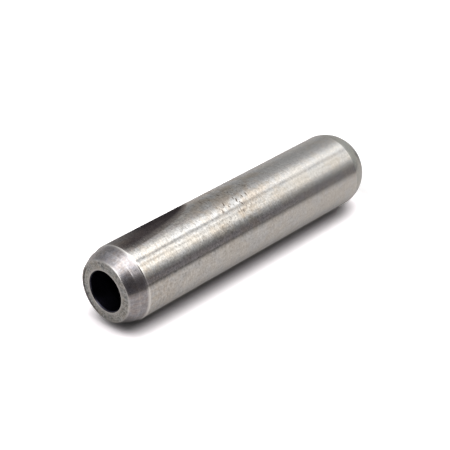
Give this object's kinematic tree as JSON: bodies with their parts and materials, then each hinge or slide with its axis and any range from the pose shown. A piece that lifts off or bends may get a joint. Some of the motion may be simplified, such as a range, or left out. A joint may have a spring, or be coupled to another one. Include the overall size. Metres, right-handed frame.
{
  "type": "valve guide",
  "caption": "Ground metal sleeve that guides an engine valve's stem, with a straight bore, a rounded port end and a two-cone taper to the flat spring end.",
  "frame": {"origin": "centre of the flat ring at the nose of the port end, on which the part stands", "axes": "+Z along the bore axis, from the rounded port end up to the tapered spring end; X and Y may point any way, because the part is a solid of revolution"},
  "size_m": [0.0132, 0.0132, 0.059],
  "materials": {
    "ground_iron": "turned and ground bright"
  },
  "bodies": {
    "root": {"valve_guide": "ground_iron"}
  },
  "joints": []
}
